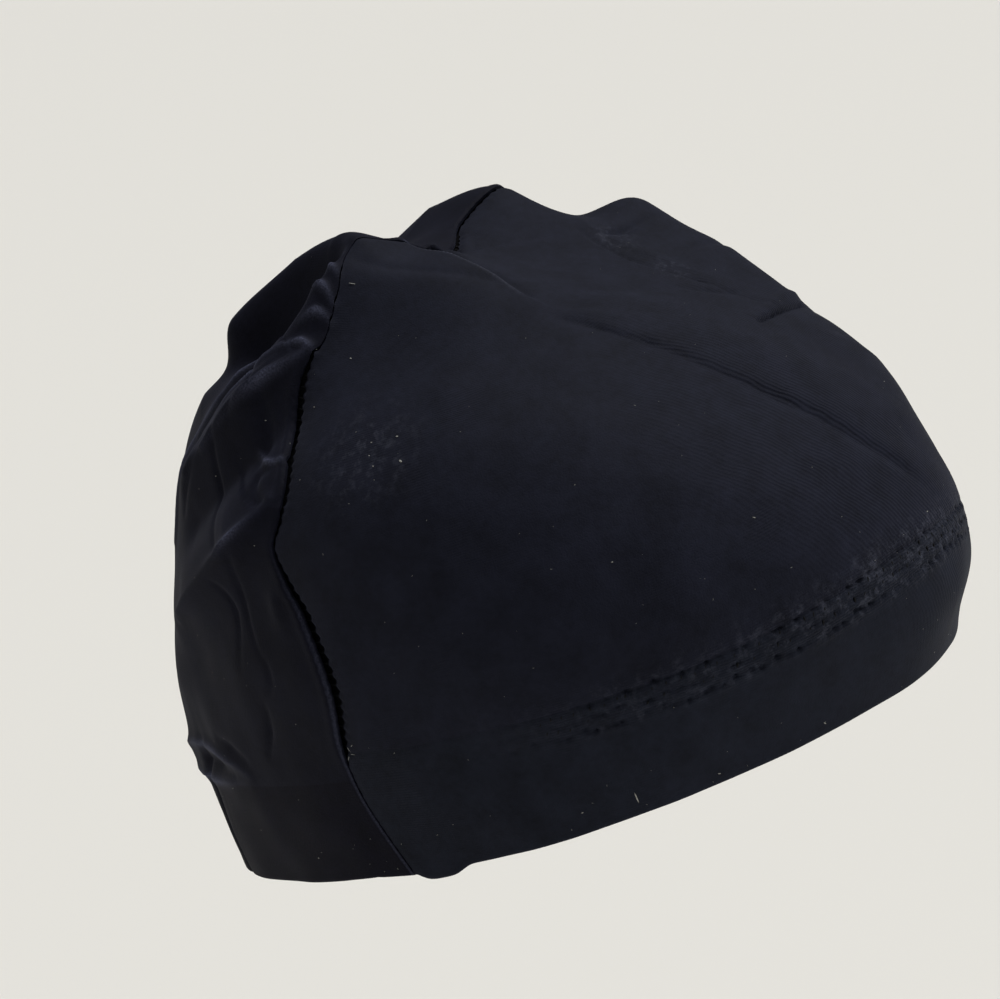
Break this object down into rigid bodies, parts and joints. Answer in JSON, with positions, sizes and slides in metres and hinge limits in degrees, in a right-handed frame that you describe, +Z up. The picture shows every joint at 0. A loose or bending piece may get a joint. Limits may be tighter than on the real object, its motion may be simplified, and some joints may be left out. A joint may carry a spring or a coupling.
{
  "type": "wig cap",
  "caption": "Stretch-knit dome cap worn under a wig, with an ear-to-ear seam, a folded hem band at the forehead and a gathered nape.",
  "frame": {"origin": "the top of the head, where it touches the inside of the crown", "axes": "+Z up, forehead towards -Y, wearer's right side towards -X"},
  "size_m": [0.1636, 0.1935, 0.1625],
  "materials": {
    "front_knit": "matte warp knit with a soft sheen",
    "back_knit": "matte warp knit with a soft sheen",
    "band_knit": "matte knit, folded double",
    "nape_knit": "matte knit, folded over elastic"
  },
  "bodies": {
    "root": {"front_panel": "front_knit", "back_panel": "back_knit", "front_band": "band_knit", "nape_band": "nape_knit"}
  },
  "joints": []
}
